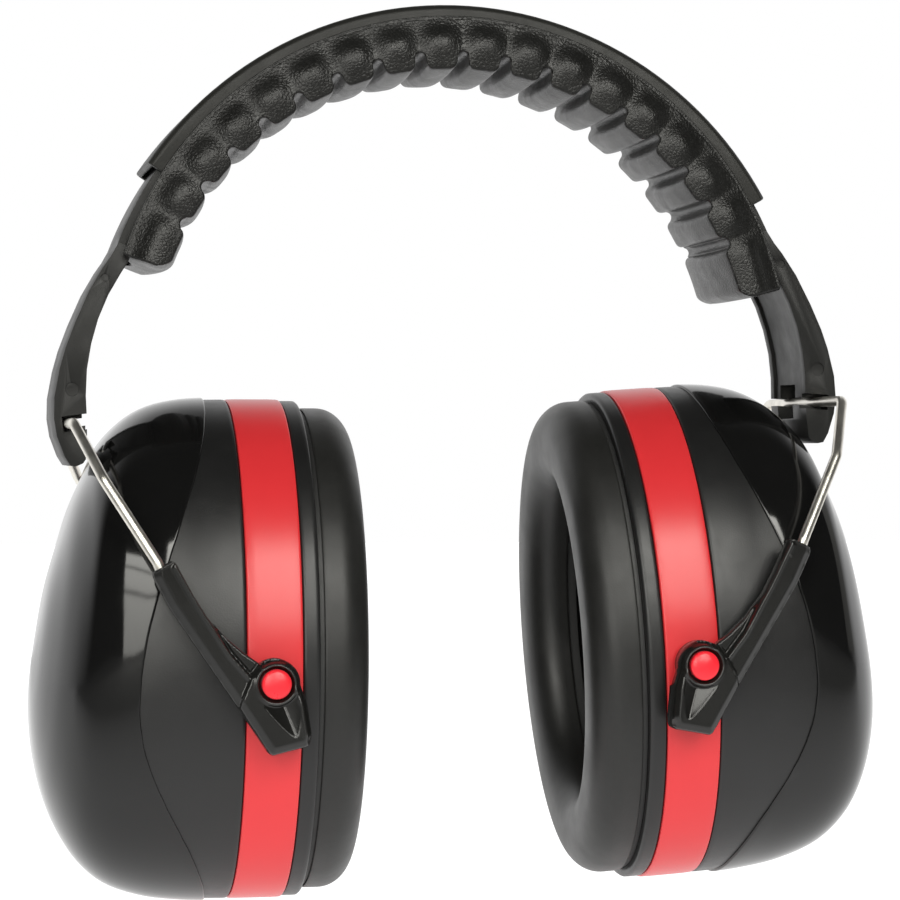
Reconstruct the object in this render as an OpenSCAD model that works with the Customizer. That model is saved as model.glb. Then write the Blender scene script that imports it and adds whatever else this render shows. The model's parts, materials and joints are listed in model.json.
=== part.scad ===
// Folding earmuff hearing protector.
// Origin: midway between the two ear cushions, on the line through both ears.
// +X is the right of the object as seen from the front, -Y is the front, +Z is up.

/* [Headband] */
// Radius of the headband's outer face
band_r = 81.6; // [81.4:0.1:83]
// Height of the headband arc's centre above the ears
band_z = 61; // [59:0.5:63]
// Sideways shift of the headband over the cups
band_x = -2; // [-3:0.5:3]
// Width of the headband cover, front to back
band_w = 32; // [31:0.5:34]
// Half the arc that the cover spans
cover_half = 58.5; // [52:0.5:59]
// Half the arc that the head pad spans
pad_half = 73.5; // [66:0.5:75]
// Lean of the cover and pad towards the right
band_lean = 2.4; // [0:0.1:2.6]
// Width of the head pad, front to back
pad_w = 39; // [37:0.5:42]
// Radius of the head pad's inner face
pad_r = 67; // [65:0.5:69]

/* [Arms] */
// Angle from the crown to the left yoke wire, larger when the arm is pulled out
left_out = 97.6; // [96:0.1:99]
// Angle from the crown to the right yoke wire, larger when the arm is pulled out
right_out = 94.1; // [93:0.1:98]
// Width of each arm, front to back
arm_w = 28; // [24:0.5:28]
// Thickness of the arm where it slides in the cover
arm_t = 3.7; // [3:0.1:4]
// Length of arc on each arm above its yoke wire
arm_arc = 78; // [70:1:80]

/* [Yokes] */
// Diameter of the yoke wire
wire_d = 2.3; // [2:0.1:2.6]
// Distance from the yoke wire's hinge to the pivot pins
yoke_len = 68; // [67:0.1:69]
// Half the width of the wire's straight part through the arm
wire_half = 29; // [28:0.5:30]

/* [Cups] */
// Distance from the middle of the head to the pivot pins
pivot_x = 46; // [45:0.5:48]
// Cup height, top to bottom
cup_h = 111; // [108:0.5:114]
// Cup width, front to back
cup_w = 86.6; // [85:0.1:87]
// Height of the cup's centre above its pivot pins
cup_rise = 4.6; // [3:0.1:6]
// Lean of the right cup, its foot outwards
right_lean = 3.9; // [0:0.1:5]
// Width of the red stripe
stripe_w = 12.1; // [10:0.1:12.1]
// Diameter of the pivot pins
pin_d = 6.2; // [5.8:0.1:6.2]

/* [Ear cushions] */
// Gap between the faces of the two ear cushions
ear_gap = 47; // [44:0.5:52]
// Height of the ear opening
ear_h = 70; // [60:1:72]
// Width of the ear opening
ear_w = 48; // [42:1:50]

/* [Hidden] */
$fn = 96;

// headband layers, by radius
cover_in = band_r - 1.5;
spring_out = cover_in;
spring_in = spring_out - 0.6;
arm_in = 75.5;
liner_out = arm_in - 0.1;
liner_in = liner_out - 1.2;
wall = 1.6;
hinge_r = 85.4;
pad_lap_r = 78.4;
bar_end = 27;
bar_w = arm_w - 0.3;

// where each yoke hangs
function hinge_x(side) = band_x + side * hinge_r * sin(side > 0 ? right_out : left_out);
function hinge_z(side) = band_z + hinge_r * cos(side > 0 ? right_out : left_out);
function yoke_angle(side) = asin((side * hinge_x(side) - pivot_x) / yoke_len);
function pivot_z(side) = hinge_z(side) - yoke_len * cos(yoke_angle(side));

// the yoke is drawn at this angle, then turned to its place
yoke_drawn = 36.3;
hx = yoke_len * sin(yoke_drawn);
hz = yoke_len * cos(yoke_drawn);
wire_r = wire_d / 2;
leg_y = 47.2;
leg_t = 5.6;
pin_r = pin_d / 2;
pin_hole_r = pin_r + 0.08;

// along the cup, from the pivot outwards
rim_x = 35.6 - pivot_x;
stripe_a = 45.35 - stripe_w / 2 - pivot_x;
stripe_b = stripe_a + stripe_w;
face_x = ear_gap / 2 - pivot_x;
plate_x = rim_x - 2;
step_x = 9.3;
step_bulge = 18.2;

black = [0.07, 0.07, 0.07];
gloss = [0.04, 0.04, 0.045];
grey = [0.16, 0.16, 0.165];
steel = [0.75, 0.73, 0.68];
red = [0.85, 0.12, 0.12];

// ---------- helpers ----------

// a curved bar round the headband's axis, between two angles from the crown
module arc_bar(r_in, r_out, w, a_from, a_to) {
    translate([band_x, 0, band_z])
        rotate([90, 0, 0])
            rotate([0, 0, 90 - a_to])
                rotate_extrude(angle = a_to - a_from, $fn = 180)
                    translate([r_in, -w / 2])
                        square([r_out - r_in, w]);
}

// puts a shape drawn for the right side on either side
module on_side(side) {
    if (side > 0) {
        children();
    } else {
        mirror([1, 0, 0])
            children();
    }
}

// places a cup drawn from its pivot, outwards along +X
module at_cup(side) {
    translate([side * pivot_x, 0, pivot_z(side)])
        rotate([0, side > 0 ? -right_lean : 0, 0])
            on_side(side)
                children();
}

// places a yoke drawn from its pivot
module at_yoke(side) {
    translate([side * pivot_x, 0, pivot_z(side)])
        on_side(side)
            rotate([0, yoke_angle(side) - yoke_drawn, 0])
                children();
}

// an oval disc across the cup, from x_from outwards
module oval(x_from, t, w, h, rise = cup_rise) {
    translate([x_from, 0, rise])
        rotate([0, 90, 0])
            scale([h / 2, w / 2, 1])
                cylinder(r = 1, h = t);
}

// an oval ring across the cup
module oval_ring(x_from, t, w, h, hole_w, hole_h) {
    difference() {
        oval(x_from, t, w, h);
        oval(x_from - 1, t + 2, hole_w, hole_h);
    }
}

// how wide the satin shell is at a distance out, as a share of the cup
function shell_share(x) = x <= stripe_b ? 1 : x <= 16 ? 0.993 : x <= 23 ? 0.971 : 0.965;

// an oval cone across the cup, its wide end inset by a wall, its far end a share of the cup
module oval_cone(x_from, x_to, inset, far_share) {
    near = shell_share(x_from);
    translate([x_from, 0, cup_rise])
        rotate([0, 90, 0])
            scale([near * cup_h / 2 - inset, near * cup_w / 2 - inset, 1])
                cylinder(r1 = 1, r2 = far_share / near, h = x_to - x_from);
}

// a slice of the dome between its top and bottom points, each [x, z] from the pivot
module slice(top, bottom, half_w, grow) {
    along = top - bottom;
    middle = (top + bottom) / 2;
    translate([middle[0], 0, middle[1]])
        rotate([0, 90 - atan2(-along[0], along[1]), 0])
            scale([norm(along) / 2 + grow, half_w + grow, 1])
                cylinder(r = 1, h = 0.02, $fn = 64);
}

// the solid dome outside the stripe; grow moves its wall in or out
module dome(grow) {
    top = cup_rise + cup_h / 2;
    low = cup_rise - cup_h / 2;
    half_w = cup_w / 2;
    g = grow;
    hull() {
        slice([stripe_b - 0.4, top], [stripe_b - 0.4, low], half_w, g);
        slice([16, top - 0.4], [16, low + 0.4], half_w - 0.4, g);
        slice([24, top - 2.5], [25, low + 1.9], half_w - 1.4, g);
        slice([29.3, top - 5.9], [32.5, low + 4.7], half_w - 3.1, g);
        slice([33.5, top - 10.5], [38, low + 9.4], half_w - 5.7, g);
        slice([36 + g / 2, top - 16.3], [42 + g / 2, low + 15.4], half_w - 9.3, g);
        slice([38.9 + g / 2, top - 23.3], [45 + g / 2, low + 22.4], half_w - 14.3, g);
        slice([41.6 + g, top - 31.6], [47 + g, low + 30.4], half_w - 20.8, g);
        slice([44.3 + g, top - 40.6], [48 + g, low + 38.4], half_w - 28.3, g);
        slice([46.1 + g, top - 49.6], [48.1 + g, low + 46.4], half_w - 36.3, g);
    }
}

// how far out the line between the satin and the glossy shell lies, at a height
function step_at(z) = z > -6
    ? step_x + step_bulge * pow(cos(min(90, 1.15 * (z + 6))), 2)
    : step_x + step_bulge * pow(cos(min(90, 1.7 * (-6 - z))), 2);

// everything outside that line
module outside_step(gap) {
    low = -66;
    rotate([90, 0, 0])
        linear_extrude(height = 110, center = true)
            polygon(concat(
                [for (z = [low : 3 : -low]) [step_at(z) + gap, z]],
                [[70, -low], [70, low]]));
}

// one pin hole through the front or rear of a cup, front is -1
module pin_hole(front, r, y_from, y_to) {
    translate([0, front > 0 ? y_to : -y_from, 0])
        rotate([90, 0, 0])
            cylinder(r = r, h = y_to - y_from, $fn = 64);
}

// a rod with flat ends, between two points
module rod(a, b, r) {
    d = b - a;
    len = norm(d);
    translate(a)
        rotate([0, acos(d[2] / len), atan2(d[1], d[0])])
            cylinder(r = r, h = len, $fn = 32);
}

// a wire of one thickness along a list of corners, with a round knuckle at each
module bent_wire(p, r) {
    last = len(p) - 1;
    for (i = [0 : last - 1])
        rod(p[i], p[i + 1], r);
    for (i = [1 : last - 1])
        translate(p[i])
            sphere(r = r * 1.04, $fn = 48);
}

// ---------- headband ----------

module band_cover() {
    half_w = band_w / 2;
    color(grey)
        translate([band_x, 0, band_z])
            rotate([90, 0, 0])
                rotate([0, 0, 90 - cover_half - band_lean])
                    rotate_extrude(angle = 2 * cover_half, $fn = 180)
                        polygon([
                            [arm_in, half_w],
                            [band_r - 1, half_w],
                            [band_r, half_w - 1],
                            [band_r, -half_w + 1],
                            [band_r - 1, -half_w],
                            [arm_in, -half_w],
                            [arm_in, -half_w + wall],
                            [cover_in, -half_w + wall],
                            [cover_in, half_w - wall],
                            [arm_in, half_w - wall]]);
}

module band_spring() {
    color(steel)
        arc_bar(spring_in, spring_out, band_w - 2 * wall - 3,
            band_lean - cover_half + 4, band_lean + cover_half - 4);
}

module band_liner() {
    color(black)
        union() {
            arc_bar(liner_in, liner_out, band_w - 1,
                band_lean - pad_half + 0.6, band_lean + pad_half - 0.6);
            // two low ribs that reach the cover's side walls
            for (y = [-1, 1])
                translate([0, y * (band_w / 2 - wall / 2 - 0.2), 0])
                    arc_bar(liner_out - 0.3, arm_in, wall - 0.6,
                        band_lean - cover_half + 1, band_lean + cover_half - 1);
        }
}

module head_pad() {
    side = (pad_w - band_w) / 2 - 0.1;
    color(black)
        union() {
            arc_bar(pad_r, liner_in, pad_w, band_lean - pad_half, band_lean + pad_half);
            // edges that lap the cover's sides
            for (y = [-1, 1])
                translate([0, y * (pad_w - side) / 2, 0])
                    arc_bar(liner_in - 1, pad_lap_r, side,
                        band_lean - pad_half, band_lean + pad_half);
        }
}

// ---------- arms ----------

// the arm's outer and inner edges, each point an angle below the yoke wire and a radius
arm_outer = [[-bar_end - 1.5, arm_in + arm_t - 0.1], [-26, 79.7], [-24, 80.6], [-20, 82.2], [-15, 84],
    [-11, 85.6], [-8, 86.7], [-4, 88], [-1, 88.5], [1.5, 88.4], [4.5, 87.6],
    [6, 86.8], [6.3, 85.6]];
arm_inner = [[-bar_end - 1.5, arm_in + 0.1], [-26, 75.75], [-24, 76.5], [-20, 78], [-16, 79.2], [-12, 80.1],
    [-8, 80.8], [-4, 81.2], [0, 81.5], [3, 82.2], [5.6, 83.2], [6.1, 84]];
arm_channel = [for (p = arm_inner) if (p[0] > -25 && p[0] < 2) p];

// a point on the arm
function arm_point(out, a, r) = [r * sin(out + a), r * cos(out + a)];

module arm(side) {
    out = side > 0 ? right_out : left_out;
    color(black)
        translate([band_x, 0, band_z])
            on_side(side)
                difference() {
                    union() {
                        // the long bar that slides in the cover
                        rotate([90, 0, 0])
                            rotate([0, 0, 90 - out + bar_end])
                                rotate_extrude(angle = arm_arc - bar_end, $fn = 180)
                                    translate([arm_in, -bar_w / 2])
                                        square([arm_t, bar_w]);
                        // the part below it, which flares out to the end block
                        rotate([90, 0, 0])
                            linear_extrude(height = arm_w, center = true)
                                polygon(concat(
                                    [for (p = arm_outer) arm_point(out, p[0], p[1])],
                                    [for (i = [len(arm_inner) - 1 : -1 : 0])
                                        arm_point(out, arm_inner[i][0], arm_inner[i][1])]));
                    }
                    // shallow channel along the inner face
                    rotate([90, 0, 0])
                        linear_extrude(height = arm_w - 5.2, center = true)
                            polygon(concat(
                                [for (p = arm_channel) arm_point(out, p[0], p[1] + 0.7)],
                                [for (i = [len(arm_channel) - 1 : -1 : 0])
                                    arm_point(out, arm_channel[i][0], arm_channel[i][1] - 2)]));
                    rotate([0, out, 0])
                        translate([0, 0, hinge_r]) {
                            // bore for the yoke wire
                            rotate([90, 0, 0])
                                cylinder(r = wire_r + 0.08, h = arm_w + 2, center = true, $fn = 48);
                            // snap slot from the inner face to the bore
                            translate([-0.85, -arm_w / 2 - 1, -8])
                                cube([1.7, arm_w + 2, 8]);
                            // window round the wire
                            translate([-3.9, -3.5, -8])
                                cube([7.8, 12, 10.4]);
                            // notch at the front edge
                            translate([-1.7, -arm_w / 2 - 1, -8])
                                cube([3.4, 6.2, 9.4]);
                        }
                    // two shallow round marks on the front and rear sides
                    for (mark = [[-5, 84.1, 1.5], [-22.5, 79.6, 0.9]], y = [-1, 1])
                        rotate([0, out + mark[0], 0])
                            translate([0, y * arm_w / 2, mark[1]])
                                rotate([90, 0, 0])
                                    cylinder(r = mark[2], h = 0.6, center = true, $fn = 32);
                }
}

module left_arm() {
    arm(-1);
}

module right_arm() {
    arm(1);
}

// ---------- yokes ----------

// corners of the wire on one side, from the arm to inside the leg
function wire_points(front) = [
    [hx, front * wire_half, hz],
    [34, front * 38, 43],
    [24.4, front * 46.9, 25.6],
    [20.9, front * leg_y, 17]];

module yoke_wire() {
    a = wire_points(-1);
    b = wire_points(1);
    color(steel)
        bent_wire([a[3], a[2], a[1], a[0], b[0], b[1], b[2], b[3]], wire_r);
}

module left_yoke_wire() {
    at_yoke(-1)
        yoke_wire();
}

module right_yoke_wire() {
    at_yoke(1)
        yoke_wire();
}

// a flat plate of the leg, its outline in the plane of the cup's side
module leg_plate(y_from, t, front, outline) {
    translate([0, front > 0 ? y_from + t : -y_from, 0])
        rotate([90, 0, 0])
            linear_extrude(height = t)
                polygon(outline);
}

module leg(front) {
    y0 = leg_y - leg_t / 2;
    p = wire_points(front);
    color(black)
        difference() {
            union() {
                // bar from the wire down to the foot
                leg_plate(y0, leg_t, front, [
                    [22, 25.6],
                    [26, 23.3],
                    [25.9, 21.4],
                    [23.3, 16],
                    [15, 3.6],
                    [8.7, -4.6],
                    [1.6, -14.8],
                    [0.8, -15.2],
                    [-6.8, -13.3],
                    [-7.5, -12.4],
                    [-7.5, -10.4],
                    [-6.3, -3.9],
                    [-5.2, 0],
                    [0, 5.2],
                    [4.9, 2.8],
                    [6.6, 2.3],
                    [12.2, 7.7],
                    [17.7, 15.3],
                    [21, 23.6]]);
                // thin web beside the bar
                leg_plate(leg_y - 1.1, 2.2, front, [
                    [20.9, 23.4],
                    [17.7, 17.3],
                    [13.6, 11.9],
                    [8, 7.1],
                    [3.6, 4.6],
                    [8, 3],
                    [14, 8],
                    [19, 15.3]]);
                // eye round the pin
                pin_hole(front, 5.3, y0, y0 + leg_t + 0.7);
            }
            pin_hole(front, pin_hole_r, y0 - 1, y0 + leg_t + 2);
            // counterbore round the pin's head
            pin_hole(front, pin_hole_r + 0.75, y0 + leg_t - 0.3, y0 + leg_t + 2);
            // dish below the pin
            translate([-1.6, front * (y0 + leg_t + 1.2), -6.3])
                rotate([0, 197, 0])
                    cylinder(r1 = 3.2, r2 = 1.7, h = 7, $fn = 48);
            // socket for the wire
            rod(p[3] - (p[2] - p[3]) * 0.02, p[2] + (p[2] - p[3]) * 0.2, wire_r + 0.03);
        }
}

module left_leg_front() {
    at_yoke(-1)
        leg(-1);
}

module left_leg_rear() {
    at_yoke(-1)
        leg(1);
}

module right_leg_front() {
    at_yoke(1)
        leg(-1);
}

module right_leg_rear() {
    at_yoke(1)
        leg(1);
}

// ---------- pivot pins ----------

module pins() {
    color(red)
        for (front = [-1, 1]) {
            // shank through the eye and the cup's wall
            pin_hole(front, pin_r, 34.4, leg_y + leg_t / 2 + 0.6);
            // rounded head
            translate([0, front * (leg_y + leg_t / 2 + 0.6), 0])
                rotate([front * -90, 0, 0])
                    cylinder(r1 = pin_r, r2 = pin_r - 0.9, h = 0.7, $fn = 64);
            // flange inside the cup
            pin_hole(front, pin_r + 1.3, 34.4, 35.8);
        }
}

module left_pins() {
    at_cup(-1)
        pins();
}

module right_pins() {
    at_cup(1)
        pins();
}

// ---------- cups ----------

module cup_base() {
    groove = 1.6;
    inner_w = cup_w - 2 * groove - 4.4;
    inner_h = cup_h - 2 * groove - 4.4;
    color(black)
        difference() {
            union() {
                // rim beside the cushion
                oval(rim_x, stripe_a - rim_x, cup_w - 0.6, cup_h - 0.6);
                // floor of the stripe's groove
                oval(stripe_a - 0.5, stripe_w + 1, cup_w - 2 * groove, cup_h - 2 * groove);
                // satin shell up to the step line
                difference() {
                    union() {
                        oval_cone(stripe_b, 16, 0, 0.993);
                        oval_cone(16, 23, 0, 0.973);
                        oval_cone(23, 29, 0, 0.93);
                    }
                    outside_step(0);
                }
            }
            difference() {
                union() {
                    oval(rim_x - 1, 17.1 - rim_x, inner_w, inner_h);
                    oval_cone(16, 24, 3.6, 0.965);
                    oval_cone(24, 31, 3.6, 0.91);
                }
                // bosses for the pins stay solid
                for (front = [-1, 1])
                    pin_hole(front, 6, 36, 41.5);
            }
            for (front = [-1, 1])
                pin_hole(front, pin_hole_r, 33, 46);
        }
}

module left_cup_base() {
    at_cup(-1)
        cup_base();
}

module right_cup_base() {
    at_cup(1)
        cup_base();
}

module stripe() {
    color(red)
        difference() {
            oval_ring(stripe_a + 0.05, stripe_w - 0.1, cup_w, cup_h, cup_w - 2.9, cup_h - 2.9);
            for (front = [-1, 1])
                pin_hole(front, pin_hole_r + 0.6, 36, 46);
        }
}

module left_stripe() {
    at_cup(-1)
        stripe();
}

module right_stripe() {
    at_cup(1)
        stripe();
}

module cap() {
    color(gloss)
        intersection() {
            difference() {
                dome(0.5);
                dome(-1.9);
            }
            outside_step(0.06);
        }
}

module left_cap() {
    at_cup(-1)
        cap();
}

module right_cap() {
    at_cup(1)
        cap();
}

module plate() {
    color(black)
        union() {
            oval_ring(plate_x, 1.96, cup_w - 5, cup_h - 5, ear_w + 2, ear_h + 2);
            // lip that snaps into the rim
            oval_ring(plate_x + 1, 3.4, cup_w - 8.2, cup_h - 8.2, cup_w - 12, cup_h - 12);
        }
}

module left_plate() {
    at_cup(-1)
        plate();
}

module right_plate() {
    at_cup(1)
        plate();
}

module cushion() {
    depth = plate_x - face_x;
    color(black)
        difference() {
            union() {
                oval(plate_x - depth * 0.62, depth * 0.62 - 0.05, cup_w - 3, cup_h - 3);
                translate([plate_x - depth * 0.6, 0, cup_rise])
                    rotate([0, -90, 0])
                        scale([cup_h / 2 - 1.5, cup_w / 2 - 1.5, 1])
                            cylinder(r1 = 1, r2 = 0.805, h = depth * 0.6);
            }
            oval(face_x - depth, 3 * depth, ear_w, ear_h);
            // flat face against the head
            translate([face_x - 20, -cup_w, -cup_h])
                cube([20, 2 * cup_w, 2 * cup_h]);
        }
}

module left_cushion() {
    at_cup(-1)
        cushion();
}

module right_cushion() {
    at_cup(1)
        cushion();
}

module foam() {
    color(grey)
        oval(-2, 8, 62, cup_h - 26);
}

module left_foam() {
    at_cup(-1)
        foam();
}

module right_foam() {
    at_cup(1)
        foam();
}

band_cover();
band_spring();
band_liner();
head_pad();
left_arm();
right_arm();
left_yoke_wire();
right_yoke_wire();
left_leg_front();
left_leg_rear();
right_leg_front();
right_leg_rear();
left_pins();
right_pins();
left_cup_base();
right_cup_base();
left_stripe();
right_stripe();
left_cap();
right_cap();
left_plate();
right_plate();
left_cushion();
right_cushion();
left_foam();
right_foam();
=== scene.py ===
import json
import math

import bmesh
import bpy
import numpy as np
from mathutils import Matrix, Vector
from mathutils.geometry import delaunay_2d_cdt


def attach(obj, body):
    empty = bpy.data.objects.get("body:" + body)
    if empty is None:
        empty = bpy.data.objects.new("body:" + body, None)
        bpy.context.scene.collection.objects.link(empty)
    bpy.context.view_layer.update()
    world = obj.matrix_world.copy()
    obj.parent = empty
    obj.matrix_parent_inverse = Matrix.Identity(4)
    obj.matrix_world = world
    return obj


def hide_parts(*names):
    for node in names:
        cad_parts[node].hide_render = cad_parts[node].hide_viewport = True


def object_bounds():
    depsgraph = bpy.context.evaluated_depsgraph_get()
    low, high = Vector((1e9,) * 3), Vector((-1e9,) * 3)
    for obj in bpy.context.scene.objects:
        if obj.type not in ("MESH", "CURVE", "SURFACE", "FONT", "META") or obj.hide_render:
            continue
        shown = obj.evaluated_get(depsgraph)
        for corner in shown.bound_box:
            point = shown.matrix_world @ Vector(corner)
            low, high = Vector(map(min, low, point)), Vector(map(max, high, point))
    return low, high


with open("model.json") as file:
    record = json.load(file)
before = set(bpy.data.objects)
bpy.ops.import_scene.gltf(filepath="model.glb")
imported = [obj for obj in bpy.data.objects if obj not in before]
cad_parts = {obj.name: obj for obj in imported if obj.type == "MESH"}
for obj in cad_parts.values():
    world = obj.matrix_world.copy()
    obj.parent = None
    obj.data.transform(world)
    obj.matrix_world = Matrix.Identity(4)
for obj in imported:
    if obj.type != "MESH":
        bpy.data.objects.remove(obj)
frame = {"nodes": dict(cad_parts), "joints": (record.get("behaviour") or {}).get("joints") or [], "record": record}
cad_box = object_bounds()

MM = 0.001
SIDES = ("left", "right")
NODES = frame["nodes"]
JOINTS = {j["name"]: j for j in frame["joints"]}
MOUNTS = {m["name"]: m for m in frame["record"]["mounts"]}

# ---------- places, read from the frame ----------


def joint_place(name):
    """A joint's point at rest, in metres."""
    return Vector(JOINTS[name]["pos_m"])


BAND_CENTRE = joint_place("left_arm_slide")
RIGHT_LEAN = math.asin(-MOUNTS["right_ear_seal"]["axis"][2])
# the angle from vertical at which the yoke's own coordinates are drawn
YOKE_DRAWN = math.radians(36.3)


def flip(side):
    """Mirrors the left side's pieces."""
    return Matrix.Diagonal((-1 if side == "left" else 1, 1, 1, 1))


def cup_place(side):
    """From a cup's own millimetres (x outwards from the pivot pins, z up) to the frame."""
    lean = 0 if side == "left" else -RIGHT_LEAN
    place = Matrix.Translation(joint_place(side + "_cup_tilt"))
    return place @ Matrix.Rotation(lean, 4, "Y") @ flip(side) @ Matrix.Scale(MM, 4)


def yoke_place(side):
    """From a yoke's own millimetres (x outwards from the pivot pins, z up) to the frame."""
    pivot, hinge = joint_place(side + "_cup_tilt"), joint_place(side + "_fold")
    swing = math.atan2(abs(hinge.x - pivot.x), hinge.z - pivot.z) - YOKE_DRAWN
    turn = Matrix.Rotation(swing, 4, "Y")
    return Matrix.Translation(pivot) @ flip(side) @ turn @ Matrix.Scale(MM, 4)


def local_box(node, place):
    """A CAD node's box in a place's own millimetres."""
    back = place.inverted()
    points = np.array([back @ v.co for v in NODES[node].data.vertices])
    return points.min(0), points.max(0)


stripe_low, stripe_high = local_box("left_stripe", cup_place("left"))
cushion_low, cushion_high = local_box("left_cushion", cup_place("left"))
STRIPE_A, STRIPE_B = stripe_low[0], stripe_high[0]
CUP_TOP, CUP_LOW = stripe_high[2], stripe_low[2]
CUP_RISE = (CUP_TOP + CUP_LOW) / 2
HALF_H, HALF_W = (CUP_TOP - CUP_LOW) / 2, stripe_high[1]
RIM_X = local_box("left_cup_base", cup_place("left"))[0][0]

# ---------- mesh helpers ----------


def link(name, data):
    """A new object in the scene."""
    made = bpy.data.objects.new(name, data)
    bpy.context.scene.collection.objects.link(made)
    return made


def shade_smooth(mesh):
    """Smooth shading on all of a mesh."""
    mesh.polygons.foreach_set("use_smooth", [True] * len(mesh.polygons))


def add_piece(name, verts, faces, place, slots=None):
    """A mesh object from points and faces, put in its place with its faces outwards."""
    mesh = bpy.data.meshes.new(name)
    mesh.from_pydata([tuple(v) for v in verts], [], faces)
    mesh.transform(place)
    if slots is not None:
        mesh.polygons.foreach_set("material_index", slots)
    made = bmesh.new()
    made.from_mesh(mesh)
    bmesh.ops.recalc_face_normals(made, faces=made.faces)
    if made.calc_volume(signed=True) < 0:
        bmesh.ops.reverse_faces(made, faces=made.faces)
    made.to_mesh(mesh)
    made.free()
    shade_smooth(mesh)
    return link(name, mesh)


def grid_faces(rows, columns, close_rows=True, start=0):
    """Quads over rows of points, each row a closed ring."""
    faces = []
    for i in range(rows if close_rows else rows - 1):
        for j in range(columns):
            a, b = i, (i + 1) % rows
            c, d = j, (j + 1) % columns
            faces.append((start + a * columns + c, start + b * columns + c,
                          start + b * columns + d, start + a * columns + d))
    return faces


def tube(points, radius):
    """Points and faces of a round tube with flat ends along a list of points."""
    sides = 24
    path = np.array(points, float)
    tangents = np.gradient(path, axis=0)
    tangents /= np.linalg.norm(tangents, axis=1, keepdims=True)
    across = np.cross(tangents[0], (0.31, 0.22, 0.93))  # any direction off the path
    verts = []
    for point, tangent in zip(path, tangents):
        across = across - tangent * (across @ tangent)
        across /= np.linalg.norm(across)
        up = np.cross(tangent, across)
        for k in range(sides):
            a = 2 * math.pi * k / sides
            verts.append(point + radius * (math.cos(a) * across + math.sin(a) * up))
    faces = grid_faces(len(path), sides, close_rows=False)
    faces.append(tuple(range(sides)))
    last = (len(path) - 1) * sides
    faces.append(tuple(last + k for k in range(sides)))
    return verts, faces


def rounded_path(corners, radius):
    """A path along straight lines whose corners are rounded with an arc."""
    steps = 8
    corners = [np.array(c, float) for c in corners]
    path = [corners[0]]
    for before, corner, after in zip(corners, corners[1:], corners[2:]):
        into, out = before - corner, after - corner
        reach_in, reach_out = np.linalg.norm(into), np.linalg.norm(out)
        into, out = into / reach_in, out / reach_out
        half = math.acos(np.clip(into @ out, -1, 1)) / 2
        cut = min(radius / math.tan(half), 0.45 * reach_in, 0.45 * reach_out)
        bend = cut * math.tan(half)
        middle = corner + (into + out) / np.linalg.norm(into + out) * bend / math.sin(half)
        a, b = corner + into * cut - middle, corner + out * cut - middle
        sweep = math.pi - 2 * half
        for k in range(steps + 1):
            t = k / steps * sweep
            path.append(middle + (math.sin(sweep - t) * a + math.sin(t) * b) / math.sin(sweep))
    path.append(corners[-1])
    return path


def smooth_through(stations, values, at):
    """Smooth curve through values at rising stations, read at other stations."""
    s, v = np.array(stations, float), np.array(values, float)
    slope = np.gradient(v, s, axis=0)
    i = np.clip(np.searchsorted(s, at, side="right") - 1, 0, len(s) - 2)
    h = s[i + 1] - s[i]
    t = (np.asarray(at) - s[i]) / h
    shape = t.shape + (1,) * (v.ndim - 1)
    t, h = t.reshape(shape), h.reshape(shape)
    return ((1 + 2 * t) * (1 - t) ** 2 * v[i] + t * (1 - t) ** 2 * h * slope[i]
            + t * t * (3 - 2 * t) * v[i + 1] + t * t * (t - 1) * h * slope[i + 1])


def step(low, high, x):
    """A smooth rise from 0 at low to 1 at high."""
    t = np.clip((np.asarray(x, float) - low) / (high - low), 0, 1)
    return t * t * (3 - 2 * t)


# ---------- materials ----------


def map_range(tree, value, *numbers):
    """A node that maps a value from low and high to another low and high."""
    node = tree.nodes.new("ShaderNodeMapRange")
    tree.links.new(value, node.inputs["Value"])
    for name, number in zip(("From Min", "From Max", "To Min", "To Max"), numbers):
        node.inputs[name].default_value = number
    return node


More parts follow.
